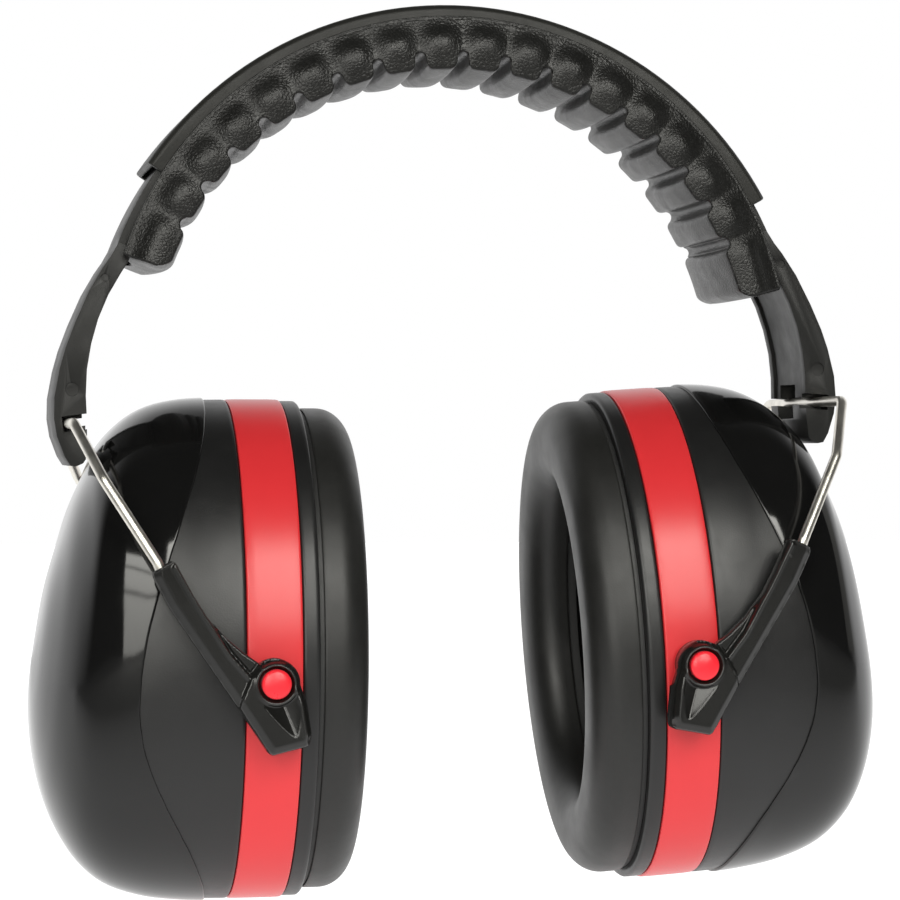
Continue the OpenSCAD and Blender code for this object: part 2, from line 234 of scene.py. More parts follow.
class Finish:
    """A node material built from object-space textures."""

    def __init__(self, name, base, rough, **sockets):
        self.material = bpy.data.materials.new(name)
        self.material.use_nodes = True
        self.nodes = self.material.node_tree.nodes
        self.links = self.material.node_tree.links
        self.shader = self.nodes["Principled BSDF"]
        self.place = self.nodes.new("ShaderNodeTexCoord").outputs["Object"]
        self.shader.inputs["Base Color"].default_value = (*base, 1)
        self.shader.inputs["Roughness"].default_value = rough
        for socket, value in sockets.items():
            self.shader.inputs[socket.replace("_", " ").title()
                               .replace("Ior", "IOR")].default_value = value
        self.normal = None

    def stretched(self, x, y, z):
        """The place, with textures finer along each axis by a factor."""
        mapping = self.nodes.new("ShaderNodeMapping")
        mapping.inputs["Scale"].default_value = (x, y, z)
        self.links.new(self.place, mapping.inputs["Vector"])
        return mapping.outputs["Vector"]

    def noise(self, size, detail=2.0, rough=0.5, vector=None):
        """Noise whose blobs are about size metres."""
        node = self.nodes.new("ShaderNodeTexNoise")
        node.inputs["Scale"].default_value = 1 / size
        node.inputs["Detail"].default_value = detail
        node.inputs["Roughness"].default_value = rough
        self.links.new(vector or self.place, node.inputs["Vector"])
        return node.outputs["Fac"]

    def cells(self, size, feature="F1", vector=None):
        """Distance to the middle, or to the edge, of cells about size metres across."""
        node = self.nodes.new("ShaderNodeTexVoronoi")
        node.feature = feature
        node.inputs["Scale"].default_value = 1 / size
        node.inputs["Randomness"].default_value = 0.9
        self.links.new(vector or self.place, node.inputs["Vector"])
        return node.outputs["Distance"]

    def warped(self, size, amount):
        """The place, pushed about by noise."""
        node = self.nodes.new("ShaderNodeTexNoise")
        node.inputs["Scale"].default_value = 1 / size
        self.links.new(self.place, node.inputs["Vector"])
        push = self.nodes.new("ShaderNodeVectorMath")
        push.operation = "MULTIPLY_ADD"
        self.links.new(node.outputs["Color"], push.inputs[0])
        push.inputs[1].default_value = (amount,) * 3
        self.links.new(self.place, push.inputs[2])
        return push.outputs[0]

    def spread(self, value, low, high, out_low, out_high):
        """A value mapped from one range to another, and held inside it."""
        return map_range(self, value, low, high, out_low, out_high).outputs["Result"]

    def blend(self, share, a, b):
        """A colour between a and b; either may be a colour or another output."""
        node = self.nodes.new("ShaderNodeMix")
        node.data_type = "RGBA"
        self.links.new(share, node.inputs[0])
        for socket, colour in ((node.inputs[6], a), (node.inputs[7], b)):
            if isinstance(colour, tuple):
                socket.default_value = (*colour, 1)
            else:
                self.links.new(colour, socket)
        return node.outputs[2]

    def math(self, operation, *values):
        """A sum of numbers or other outputs, named by its operation."""
        node = self.nodes.new("ShaderNodeMath")
        node.operation = operation
        for socket, value in zip(node.inputs, values):
            if isinstance(value, (int, float)):
                socket.default_value = value
            else:
                self.links.new(value, socket)
        return node.outputs[0]

    def edges(self):
        """1 on convex edges, 0 elsewhere."""
        node = self.nodes.new("ShaderNodeNewGeometry")
        return self.spread(node.outputs["Pointiness"], 0.52, 0.6, 0.0, 1.0)

    def along(self, axis):
        """The place along one axis, in metres."""
        node = self.nodes.new("ShaderNodeSeparateXYZ")
        self.links.new(self.place, node.inputs[0])
        return node.outputs[axis]

    def colour(self, output):
        """Links the base colour."""
        self.links.new(output, self.shader.inputs["Base Color"])

    def roughness(self, output):
        """Links the roughness."""
        self.links.new(output, self.shader.inputs["Roughness"])

    def glow(self, share, colour):
        """Emission from black, where the share is 0, to a colour."""
        self.links.new(self.blend(share, (0.0, 0.0, 0.0), colour),
                       self.shader.inputs["Emission Color"])

    def bump(self, height, depth):
        """Relief of depth metres; calls add up."""
        node = self.nodes.new("ShaderNodeBump")
        node.inputs["Distance"].default_value = depth
        self.links.new(height, node.inputs["Height"])
        if self.normal is not None:
            self.links.new(self.normal, node.inputs["Normal"])
        self.normal = node.outputs["Normal"]
        self.links.new(self.normal, self.shader.inputs["Normal"])


def gloss_plastic(name, base, rough, edge_wear_and_highlight=0.5):
    """Moulded plastic straight from a polished tool."""
    f = Finish(name, base, rough)
    lighter = tuple(c * 1.5 + 0.002 for c in base)
    # convex edges are painted lighter: partly rubbed edges, partly a painted highlight
    worn_and_highlit_edge = tuple(c * 1.6 + 0.02 * edge_wear_and_highlight for c in base)
    tint = f.blend(f.noise(0.02, 4), base, lighter)
    f.colour(f.blend(f.math("MULTIPLY", f.edges(), edge_wear_and_highlight), tint, worn_and_highlit_edge))
    smudge = f.noise(0.012, 5, 0.6, f.warped(0.03, 0.02))
    f.roughness(f.spread(smudge, 0.35, 0.75, rough * 0.85, rough * 1.5))
    f.bump(f.noise(0.009, 1), 1.2e-5)
    f.bump(f.noise(0.0011, 3), 2.0e-6)
    return f.material


def satin_plastic(name, base, rough, grain=0.00035, depth=1.0e-5, edge_wear_and_highlight=0.5, shine=0.5,
                  mottle=0.35):
    """Moulded plastic with a fine spark-eroded texture."""
    f = Finish(name, base, rough, specular_ior_level=shine)
    lighter = tuple(c * (1 + mottle) + 0.001 for c in base)
    # convex edges are painted lighter: partly rubbed edges, partly a painted highlight
    worn_and_highlit_edge = tuple(c * 1.5 + 0.03 * edge_wear_and_highlight for c in base)
    tint = f.blend(f.noise(0.014, 5, 0.6), base, lighter)
    f.colour(f.blend(f.math("MULTIPLY", f.edges(), edge_wear_and_highlight), tint, worn_and_highlit_edge))
    f.roughness(f.spread(f.noise(0.006, 4, 0.65), 0.3, 0.7, rough * (1 - 0.35 * mottle),
                         rough * (1 + 0.4 * mottle)))
    f.bump(f.noise(0.011, 2), 1.5e-5)
    f.bump(f.cells(grain), depth)
    f.bump(f.noise(grain * 1.7, 3), depth * 0.8)
    return f.material


def leatherette(name, base, rough, creases=6e-5, shine=0.5):
    """Grained leatherette: pebbles, fine pores and soft creases."""
    grain, depth = 0.0008, 4e-5
    f = Finish(name, base, rough, sheen_weight=0.05, sheen_roughness=0.4,
               specular_ior_level=shine)
    place = f.warped(0.004, 0.0012)
    pebbles = f.cells(grain, "DISTANCE_TO_EDGE", place)
    lighter = tuple(c * 1.9 + 0.004 for c in base)
    tint = f.blend(f.noise(0.012, 5, 0.6), base, lighter)
    # painted shade: the colour darkens in the sunken creases between the pebbles
    f.colour(f.blend(f.spread(pebbles, 0.0, 0.2, 0.45, 0.0), tint, tuple(c * 0.3 for c in base)))
    f.roughness(f.spread(f.noise(0.005, 4, 0.65), 0.3, 0.7, rough * 0.8, rough * 1.2))
    f.bump(f.noise(0.006, 5, 0.6, f.warped(0.01, 0.012)), creases * 4)
    f.bump(f.spread(pebbles, 0.0, 0.28, 0.0, 1.0), depth)
    f.bump(f.noise(grain * 0.28, 3), depth * 0.25)
    return f.material


def soft_vinyl(name, base, rough):
    """Smooth welded vinyl skin over foam."""
    f = Finish(name, base, rough, sheen_weight=0.05, sheen_roughness=0.5)
    place = f.warped(0.003, 0.0006)
    tint = f.blend(f.noise(0.02, 5, 0.6), base, tuple(c * 1.6 + 0.002 for c in base))
    f.colour(f.blend(f.noise(0.0016, 3), tint, tuple(c * 0.8 for c in base)))
    f.roughness(f.spread(f.noise(0.009, 4, 0.6), 0.3, 0.7, rough * 0.88, rough * 1.12))
    f.bump(f.noise(0.016, 3, 0.5, f.warped(0.03, 0.02)), 1.6e-4)
    f.bump(f.cells(0.0006, "DISTANCE_TO_EDGE", place), 1.6e-5)
    return f.material


def drawn_steel(name, base, rough):
    """Bright wire with faint marks along it and a few dull spots."""
    f = Finish(name, base, rough, metallic=1.0)
    lines = f.noise(0.02, 1, 0.5, f.stretched(12, 12, 2))
    dull = f.noise(0.006, 5, 0.65)
    f.colour(f.blend(f.spread(dull, 0.45, 0.8, 0.0, 0.8), base, tuple(c * 0.62 for c in base)))
    f.roughness(f.spread(lines, 0.3, 0.7, rough * 0.9, rough * 1.12))
    f.bump(lines, 2e-6)
    return f.material


def open_foam(name, base):
    """Open-cell foam, its pores darkened with painted shade."""
    f = Finish(name, base, 0.95, sheen_weight=0.1)
    pores = f.cells(0.0009, "F1", f.warped(0.002, 0.0006))
    # painted shade: darker in the pores
    f.colour(f.blend(f.spread(pores, 0.1, 0.7, 0.0, 1.0), tuple(c * 1.6 for c in base),
                     tuple(c * 0.3 for c in base)))
    f.bump(pores, 3e-4)
    f.bump(f.noise(0.006, 4), 3e-4)
    return f.material


MATERIALS = {
    "cap_gloss": gloss_plastic("cap_gloss", (0.004, 0.004, 0.004), 0.08),
    "rim_gloss": gloss_plastic("rim_gloss", (0.007, 0.007, 0.007), 0.1),
    "cup_satin": satin_plastic("cup_satin", (0.0085, 0.0085, 0.0087), 0.35),
    "stripe_red": satin_plastic("stripe_red", (0.69, 0.031, 0.037), 0.29,
                                grain=0.0007, depth=2e-6, edge_wear_and_highlight=0.0, mottle=0.07),
    "cushion": soft_vinyl("cushion", (0.0095, 0.0095, 0.0088), 0.43),
    "leatherette": leatherette("leatherette", (0.0055, 0.0055, 0.005), 0.36, creases=1.4e-5,
                               shine=0.4),
    # the pad's underside: a rougher leatherette, partly its own greyer face and partly painted light from the
    # floor below
    "pad_face_painted_lighter": leatherette("pad_face_painted_lighter", (0.021, 0.021, 0.020), 0.58),
    "cover": satin_plastic("cover", (0.012, 0.012, 0.0105), 0.46, grain=0.0006, depth=1.2e-5,
                           shine=0.3),
    "arm": satin_plastic("arm", (0.010, 0.010, 0.0095), 0.42, grain=0.0005, edge_wear_and_highlight=0.8, shine=0.25),
    "leg": gloss_plastic("leg", (0.0065, 0.0065, 0.006), 0.17, edge_wear_and_highlight=1.0),
    "pin_red": gloss_plastic("pin_red", (0.72, 0.018, 0.03), 0.24, edge_wear_and_highlight=0.2),
    "wire": drawn_steel("wire", (0.86, 0.83, 0.76), 0.34),
    "spring": drawn_steel("spring", (0.55, 0.55, 0.54), 0.35),
    "liner": satin_plastic("liner", (0.014, 0.014, 0.014), 0.5),
    "plate": satin_plastic("plate", (0.012, 0.012, 0.012), 0.5),
    "foam": open_foam("foam", (0.03, 0.03, 0.031)),
}


def paint(piece, *names):
    """Gives a piece its materials, in the order of its face slots."""
    piece.data.materials.clear()
    for name in names:
        piece.data.materials.append(MATERIALS[name])


def set_up(piece, body, slot, *nodes):
    """Puts a finished piece on its body, in place of its CAD nodes."""
    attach(piece, body)
    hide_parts(*nodes)


# ---------- cups ----------

# the dome from the stripe to its tip: x at the top, drop from the top, x at the foot,
# rise from the foot, and how much narrower than the cup it is on each side
DOME = [
    (STRIPE_B, 0.0, STRIPE_B, 0.0, 0.0),
    (11, 0.12, 11, 0.12, 0.1),
    (16, 0.5, 16, 0.4, 0.5),
    (24, 2.6, 25, 1.8, 1.6),
    (29.3, 6.25, 32.5, 4.7, 3.3),
    (33.5, 11.2, 38, 9.4, 5.9),
    (36, 17.0, 42, 15.4, 9.5),
    (38.9, 23.4, 45, 22.4, 14.5),
    (41.6, 31.7, 47, 30.4, 21.0),
    (44.3, 40.7, 48, 38.4, 28.5),
    (46.1, 49.7, 48.1, 46.4, 36.4),
    (47.4, 57.0, 47.6, 54.0, HALF_W),
]
AROUND = 144
SQUARE = 0.6  # how much the dome's sections bulge past an ellipse
# the line between satin and gloss: its least x, how much further out it bulges, and where
STEP_X, STEP_BULGE, STEP_Z = 9.3, 18.2, -6
# the glossy skin's faces and the satin shell's inner face, as offsets from the dome
CAP_OUT, CAP_IN, SHELL_IN = 0.5, -1.6, -2.4


def dome_sections():
    """The dome's stations, as distances out along it, and its section at each of them."""
    rows = [(a, CUP_TOP - b, c, CUP_LOW + d, HALF_W - e) for a, b, c, d, e in DOME]
    rows[-1] = (*rows[-1][:3], rows[-1][1], 0.0)
    rows = np.array(rows)
    moved = np.diff(rows, axis=0)
    length = (np.hypot(moved[:, 0], moved[:, 1]) + np.hypot(moved[:, 2], moved[:, 3])) / 2
    return np.concatenate([[0], np.cumsum(length)]), rows


DOME_AT, DOME_ROWS = dome_sections()
TURN = np.linspace(0, 2 * math.pi, AROUND, endpoint=False)


def dome_point(at, turn):
    """Points on the dome: at is the distance out along it in millimetres."""
    s = smooth_through(DOME_AT, DOME_ROWS, at)
    middle_x, middle_z = (s[..., 0] + s[..., 2]) / 2, (s[..., 1] + s[..., 3]) / 2
    reach_x, reach_z = (s[..., 0] - s[..., 2]) / 2, (s[..., 1] - s[..., 3]) / 2
    square = 2 / (2 + SQUARE * step(DOME_AT[2], DOME_AT[6], at)) - 1
    up = np.cos(turn) * np.maximum(np.abs(np.cos(turn)), 1e-6) ** square
    across = np.sin(turn) * np.maximum(np.abs(np.sin(turn)), 1e-6) ** square
    return np.stack([middle_x + up * reach_x, across * s[..., 4], middle_z + up * reach_z], -1)


def step_line(z):
    """How far out the line between the satin and the glossy shell lies."""
    rate = np.where(z > STEP_Z, 1.15, 1.7)
    turn = np.radians(np.clip(rate * np.abs(z - STEP_Z), 0, 90))
    return STEP_X + STEP_BULGE * np.cos(turn) ** 2


def step_stations():
    """The distance out along the dome at which each turn crosses the step line."""
    at = np.linspace(0, DOME_AT[-1] * 0.75, 500)
    found = []
    for turn in TURN:
        p = dome_point(at, np.full(at.shape, turn))
        past = p[:, 0] > step_line(p[:, 2])
        found.append(at[int(np.argmax(past))])
    return np.array(found)


STEP_AT = step_stations()


def dome_rows(stations, offsets):
    """Rows of points: each row has its stations round the cup and its offset from the dome."""
    grid = np.array([dome_point(np.asarray(s), TURN) for s in stations])
    ahead = np.array([dome_point(np.asarray(s) + 0.05, TURN) for s in stations])
    around = np.roll(grid, -1, axis=1) - np.roll(grid, 1, axis=1)
    normal = np.cross(around, ahead - grid)
    normal /= np.maximum(np.linalg.norm(normal, axis=2, keepdims=True), 1e-9)
    normal *= np.sign(normal[..., :1] + 1e-3 + (normal * (grid - (10, 0, CUP_RISE))).sum(
        -1, keepdims=True))
    return grid + normal * np.asarray(offsets, float)[:, None, None]


def oval_rows(rows):
    """Rows of points round the straight part of the cup, each [x, inset]."""
    return np.array([[(x, math.sin(t) * (HALF_W - inset),
                       CUP_RISE + math.cos(t) * (HALF_H - inset)) for t in TURN]
                     for x, inset in rows])


def make_shell(side):
    """Rim, groove for the stripe and satin shell, hollow inside."""
    rim = [
        (RIM_X, 3.6), (RIM_X, 1.1), (RIM_X + 0.12, 0.62), (RIM_X + 0.5, 0.33), (RIM_X + 1.2, 0.3),
        (STRIPE_A - 0.9, 0.3), (STRIPE_A - 0.4, 0.32), (STRIPE_A - 0.12, 0.5),
        (STRIPE_A, 0.95)]
    groove = [
        (STRIPE_A, 1.6), (STRIPE_A + 2, 1.6), (STRIPE_B - 2, 1.6),
        (STRIPE_B, 1.6), (STRIPE_B, 0.8), (STRIPE_B + 0.1, 0.3), (STRIPE_B + 0.4, 0.06)]
    near, far = 0.9, STEP_AT + 1.6
    shares = np.linspace(0, 1, 22)
    satin = dome_rows([near + (far - near) * s for s in shares], [0.0] * 21 + [-0.15])
    inner = dome_rows([near + (far - near) * s for s in shares[::-4]],
                      [SHELL_IN] * len(shares[::-4]))
    inside = oval_rows([(STRIPE_B, 3.8), (STRIPE_A, 3.8), (RIM_X + 2, 3.8)])
    rows = np.concatenate([oval_rows(rim + groove), satin, inner, inside])
    faces = grid_faces(len(rows), AROUND)
    slots = [1 if i < len(rim) else 0 for i in range(len(rows)) for _ in range(AROUND)]
    piece = add_piece(side + "_cup_shell", rows.reshape(-1, 3), faces, cup_place(side),
                      slots=slots)
    paint(piece, "cup_satin", "rim_gloss")
    set_up(piece, side + "_cup", "cup_satin", side + "_cup_base")


def make_cap(side):
    """Glossy outer dome, with a fine raised edge along the step line."""
    tip = DOME_AT[-1]
    shares = np.linspace(0, 1, 46)[:-1] ** 0.9
    lip = [(0.0, CAP_IN), (0.0, -0.3), (0.0, 0.15), (0.06, 0.34), (0.22, 0.47), (0.5, CAP_OUT)]
    lap = lip[-1][0]
    stations = [STEP_AT + d for d, _ in lip]
    stations += [STEP_AT + lap + (tip - STEP_AT - lap) * s for s in shares[1:]]
    offsets = [o for _, o in lip] + [CAP_OUT] * (len(shares) - 1)
    outside = dome_rows(stations, offsets)
    inside = dome_rows([STEP_AT + (tip - STEP_AT) * s for s in shares[::-3]],
                       [CAP_IN] * len(shares[::-3]))
    rows = np.concatenate([inside, outside])
    verts = list(rows.reshape(-1, 3))
    faces = grid_faces(len(rows), AROUND, close_rows=False)
    tip_point = DOME_ROWS[-1][[0, 1]]
    for row, out in ((0, CAP_IN), (len(rows) - 1, CAP_OUT)):
        verts.append((tip_point[0] + out, 0, tip_point[1]))
        faces += [(row * AROUND + j, row * AROUND + (j + 1) % AROUND, len(verts) - 1)
                  for j in range(AROUND)]
    piece = add_piece(side + "_dome", verts, faces, cup_place(side))
    paint(piece, "cap_gloss")
    set_up(piece, side + "_cup", "cap_gloss", side + "_cap")


def make_stripe(side):
    """Red ring in its groove, its edges rounded over."""
    a, b = STRIPE_A + 0.06, STRIPE_B - 0.06
    over = [(0.0, 0.42), (0.07, 0.2), (0.22, 0.06), (0.5, 0.0)]
    rows = [(a, 1.45)] + [(a + d, i) for d, i in over]
    rows += [(a + (b - a) * s, -0.06) for s in (0.2, 0.4, 0.6, 0.8)]
    rows += [(b - d, i) for d, i in over[::-1]] + [(b, 1.45)]
    grid = oval_rows(rows)
    piece = add_piece(side + "_red_ring", grid.reshape(-1, 3), grid_faces(len(rows), AROUND),
                      cup_place(side))
    paint(piece, "stripe_red")
    set_up(piece, side + "_cup", "stripe_red", side + "_stripe")


# ---------- simulation ----------


def inflate(piece, pressure, frames, cap, pinned, stiffness=15.0):
    """Swells a piece with cloth pressure; pinned is a weight for each point, 1 stays put."""
    start = np.array([v.co for v in piece.data.vertices])
    group = piece.vertex_groups.new(name="held")
    for index, weight in enumerate(pinned):
        if weight > 0:
            group.add([index], float(weight), "REPLACE")
    cloth = piece.modifiers.new("swell", "CLOTH")
    settings = cloth.settings
    settings.vertex_group_mass = "held"
    settings.use_pressure = True
    settings.uniform_pressure_force = pressure
    settings.tension_stiffness = settings.compression_stiffness = stiffness
    settings.shear_stiffness = stiffness / 3
    settings.bending_stiffness = 0.5
    settings.quality = 5
    settings.mass = 0.2
    settings.effector_weights.gravity = 0
    cloth.collision_settings.use_collision = False
    cloth.point_cache.frame_end = frames
    scene = bpy.context.scene
    for number in range(1, frames + 1):
        scene.frame_set(number)
    evaluated = piece.evaluated_get(bpy.context.evaluated_depsgraph_get())
    swelled = np.array([v.co for v in evaluated.data.vertices])
    piece.modifiers.remove(cloth)
    piece.vertex_groups.clear()
    scene.frame_set(1)
    moved = swelled - start
    length = np.linalg.norm(moved, axis=1, keepdims=True)
    moved *= np.minimum(1, cap / np.maximum(length, 1e-9))
    piece.data.vertices.foreach_set("co", (start + moved).astype(np.float32).ravel())
    piece.data.update()
    print(piece.name, "swelled by up to", round(float(length.max()) * 1000, 2), "mm")


def subdivide(piece):
    """Puts one level of subdivision into a piece's mesh."""
    modifier = piece.modifiers.new("smooth", "SUBSURF")
    modifier.levels = modifier.render_levels = 1
    mesh = bpy.data.meshes.new_from_object(
        piece.evaluated_get(bpy.context.evaluated_depsgraph_get()))
    piece.modifiers.clear()
    old = piece.data
    piece.data = mesh
    bpy.data.meshes.remove(old)
    shade_smooth(mesh)


# ---------- soft parts ----------


def make_cushion(side):
    """Ring cushion: a swelled vinyl skin over foam, welded at its back edge."""
    back, face = cushion_high[0], cushion_low[0]
    hole_h, hole_w = 35.0, 24.0
    out_h, out_w = HALF_H - 1.9, HALF_W - 1.9
    around = 132
    depth = back - face
    # the skin's section, from the back at the hole, over the face, to the back at the rim:
    # share of the way out from the hole, and share of the depth
    across, deep_in = 0.4, 0.72
    ring = [(0.0, k / 5 * (1 - deep_in)) for k in range(6)]
    turns = [k / 11 * math.pi / 2 for k in range(1, 11)]
    ring += [(across * (1 - math.cos(a)), 1 - deep_in + deep_in * math.sin(a)) for a in turns]
    ring += [(across + k / 4 * (1 - 2 * across), 1.0) for k in range(5)]
    ring += [(1 - across + across * math.sin(a), 1 - deep_in + deep_in * math.cos(a))
             for a in turns]
    ring += [(1.0, (1 - k / 5) * (1 - deep_in)) for k in range(6)]
    # a short skirt over the plate's edge
    ring += [(1.0, -0.09), (0.985, -0.105), (0.975, -0.09), (0.972, 0.0)]
    ring += [(0.97 - k / 6, 0.0) for k in range(1, 6)]
    verts, pinned = [], []
    for out, deep in ring:
        for j in range(around):
            t = 2 * math.pi * j / around
            h = hole_h + (out_h - hole_h) * out
            w = hole_w + (out_w - hole_w) * out
            verts.append((back - depth * 0.94 * deep, math.sin(t) * w, CUP_RISE + math.cos(t) * h))
            pinned.append(1.0 if deep <= 0 else 0.0)
    piece = add_piece(side + "_ear_cushion", verts, grid_faces(len(ring), around), cup_place(side))
    inflate(piece, 3.0, 18, 2.6 * MM, pinned)
    place = cup_place(side)
    inverse = place.inverted()
    for v in piece.data.vertices:
        p = inverse @ v.co
        p.x = max(p.x, face - 0.6)
        v.co = place @ p
    subdivide(piece)
    paint(piece, "cushion")
    set_up(piece, side + "_cup", "cushion", side + "_cushion")


def make_foam(side):
    """Acoustic foam behind the ear, crowned and pressed in at its edge."""
    low, high = local_box(side + "_foam", cup_place(side))
    rings, around = 22, 96
    verts, faces = [], []
    rng = np.random.default_rng(7)
    for face in (0, 1):
        for i in range(rings):
            share = (i + 1) / rings
            for j in range(around):
                t = 2 * math.pi * j / around
                edge = share ** 6
                crown = 1.2 * (1 - share ** 2) - 2.2 * edge
                rough = 0.25 * rng.standard_normal() * (1 - edge)
                x = low[0] + 0.8 - crown + rough if face == 0 else high[0] - 1.5 * edge
                verts.append((x, math.sin(t) * high[1] * share,
                              CUP_RISE + math.cos(t) * (high[2] - CUP_RISE) * share))
        faces += grid_faces(rings, around, close_rows=False, start=face * rings * around)
    count = 2 * rings * around
    verts += [(low[0] - 0.4, 0, CUP_RISE), (high[0], 0, CUP_RISE)]
    for face in (0, 1):
        first = face * rings * around
        faces += [(first + j, first + (j + 1) % around, count + face) for j in range(around)]
    a, b = (rings - 1) * around, (2 * rings - 1) * around
    faces += [(a + j, a + (j + 1) % around, b + (j + 1) % around, b + j) for j in range(around)]
    piece = add_piece(side + "_acoustic_foam", verts, faces, cup_place(side))
    paint(piece, "foam")
    set_up(piece, side + "_cup", "foam", side + "_foam")


# ---------- head pad ----------

LOBES = 16
# degrees from one groove to the next, and from the crown to the middle groove
PAD_PITCH, PAD_MIDDLE = 7.89, 1.35
GROOVE_HALF, CORNER = 1.3, 1.5
PAD_R = 69.0
# how far out a finger's side stands, as a share, at distances down from the seam
SIDE_DOWN, SIDE_OUT = (0, 1.0, 3.0, 4.6, 6.0, 7.6, 9.6), (0, 0.36, 0.78, 0.96, 1.0, 0.93, 0.76)


def polar_box(node):
    """Lowest and highest radius and angle from the crown of a node about the band's axis."""
    points = np.array([v.co for v in NODES[node].data.vertices]) - np.array(BAND_CENTRE)
    radius = np.hypot(points[:, 0], points[:, 2]) / MM
    angle = np.degrees(np.arctan2(points[:, 0], points[:, 2]))
    return radius.min(), radius.max(), angle.min(), angle.max(), np.abs(points[:, 1]).max() / MM


def lobe_radius(u, inner, top):
    """Radius of the pad's inner face at u millimetres from the middle of a groove."""
    if u <= GROOVE_HALF:
        return top - 0.9 * (u / GROOVE_HALF) ** 2.5
    x = min(u - GROOVE_HALF - 0.06, CORNER)
    return inner + CORNER - math.sqrt(max(CORNER ** 2 - (CORNER - x) ** 2, 0))


def make_head_pad():
    """Padded strip with round fingers, swelled between its seams."""
    inner, _, start, end, half_w = polar_box("head_pad")
    cover_half_w = polar_box("band_cover")[4]
    back = polar_box("band_liner")[0]
    grooves = PAD_MIDDLE + PAD_PITCH * (np.arange(LOBES + 1) - LOBES / 2)
    to_angle = math.degrees(1 / PAD_R)
    half_pitch = PAD_PITCH / 2 / to_angle
    near = np.array([0.0, 0.55, 0.95, 1.2, 1.3, 1.37, 1.48, 1.7, 2.05, 2.5, 3.1, 3.9, half_pitch])
    angles = [g + sign * u * to_angle for g in grooves for u in near for sign in (-1, 1)
              if start < g + sign * u * to_angle < end]
    for a, b in ((start, grooves[0] - half_pitch * to_angle),
                 (grooves[-1] + half_pitch * to_angle, end)):
        angles += list(np.linspace(a, b, 14))
    angles = np.array(sorted(set(np.round(angles, 4))))
    rows, pinned, slots = [], [], []
    for angle in angles:
        away = np.abs(grooves - angle) / to_angle
        u, share = away.min(), int(np.argmin(away)) / LOBES
        ends = min(angle - start, end - angle)
        top = 70.8 - 1.9 * (2 * share - 1) ** 2
        lift = 3.4 * np.clip(1 - ends / 2.6, 0, 1) ** 2.2
        radius = lobe_radius(u, inner + lift, top + lift)
        lap = 78.9 - 1.7 * (angle / 74) ** 2
        finger = float(step(-0.5, 3.9, u))
        held = 0.9 if u < GROOVE_HALF else 0.5 if ends < 0.5 else 0.0
        section, weights, kinds = pad_section(radius, lap, back, half_w, cover_half_w,
                                              finger, held)
        rows.append([(angle, y, r) for y, r in section])
        pinned += weights
        slots += kinds
    columns = len(rows[0])
    verts = []
    for row in rows:
        for angle, y, r in row:
            a = math.radians(angle)
            verts.append((r * math.sin(a), y, r * math.cos(a)))
    faces = grid_faces(len(rows), columns, close_rows=False)
    slots = slots[: len(faces)]
    for base in (0, (len(rows) - 1) * columns):
        faces.append(tuple(base + k for k in range(columns)))
        slots.append(0)
    place = Matrix.Translation(BAND_CENTRE) @ Matrix.Scale(MM, 4)
    piece = add_piece("ribbed_head_pad", verts, faces, place, slots=slots)
    inflate(piece, 2.0, 12, 0.6 * MM, pinned, stiffness=25.0)
    subdivide(piece)
    # the underside takes the leatherette painted lighter for the light from below
    paint(piece, "leatherette", "pad_face_painted_lighter")
    set_up(piece, "headband", "leatherette", "head_pad")


def pad_section(radius, lap, back, half_w, cover_half_w, finger, held):
    """The pad's section at one angle: points (y, r), their hold in the simulation, and the
    material of the faces that follow them. Between the fingers the side falls back."""
    top_y = cover_half_w + 0.12
    reach = half_w - 0.35 - top_y
    right = [(top_y, back + 0.1), (top_y, lap - 1.0), (top_y + 0.03, lap + 0.1),
             (top_y + 0.34, lap + 0.12), (top_y + 0.46, lap - 0.16), (top_y + 0.3, lap - 0.42)]
    seam = len(right)
    fall = lap - 0.45 - radius - 0.5
    for share in (0.04, 0.1, 0.17, 0.26, 0.36, 0.48, 0.61, 0.75, 0.88, 1.0):
        down = share * fall
        bulge = smooth_through(SIDE_DOWN, SIDE_OUT, down)
        slope = 0.7 * float(step(-1.5, 8.5, down))
        out = slope + (bulge - slope) * finger * float(step(0.0, 5.4, down))
        right.append((top_y + 0.35 + (reach - 0.35) * out, lap - 0.45 - down))
    y_edge = right[-1][0]
    right += [(y_edge - 0.12, radius + 0.22), (y_edge - 0.45, radius + 0.02)]
    corner = len(right) - 1
    for share in (0.9, 0.7, 0.45, 0.2):
        crown = (1 - share ** 2) * (0.3 + 1.1 * finger)
        right.append(((y_edge - 0.45) * share, radius - crown))
    section = right + [(-y, r) for y, r in right[::-1]]
    count = len(section)
    weights = [1.0 if min(k, count - 1 - k) < seam else held for k in range(count)]
    kinds = [1 if corner <= k < count - 1 - corner else 0 for k in range(count)]
    return section, weights, kinds


# ---------- yokes ----------

LEG_Y, LEG_HALF_T = 47.2, 2.8
WIRE_R, WIRE_HALF, WIRE_BEND = 1.15, 29.0, 3.2
WIRE_CORNERS = [(20.9, LEG_Y, 17.0), (24.4, 46.9, 25.6), (34.9, 40.0, 43.0)]
# the leg's outline and lines, each point x outwards and z up from the pivot
LEG_LEFT = [(21.2, 25.9), (25.4, 23.6), (25.2, 22.3), (21.9, 16), (13.6, 3.6), (7.9, -4.8),
            (1.5, -14.7), (0.7, -15.1), (-6.8, -13.3), (-7.5, -12.4)]
LEG_RIGHT = [(-7.5, -10.4), (-6.6, -4.2)]
RIDGE = [(5.3, 1.2), (9.7, 6.3), (15.9, 16.2), (20.7, 24.6)]
LEG_WEB = [(3.4, 4.3), (6.2, 6.2), (10.4, 9.8), (14.2, 14.1), (17.2, 18.9), (20.2, 24.8)]
SHIELD = [(7.7, -5.2), (6.9, -2.6), (5.3, 1.2), (2.9, 4.0)]
EYE_R = 5.2


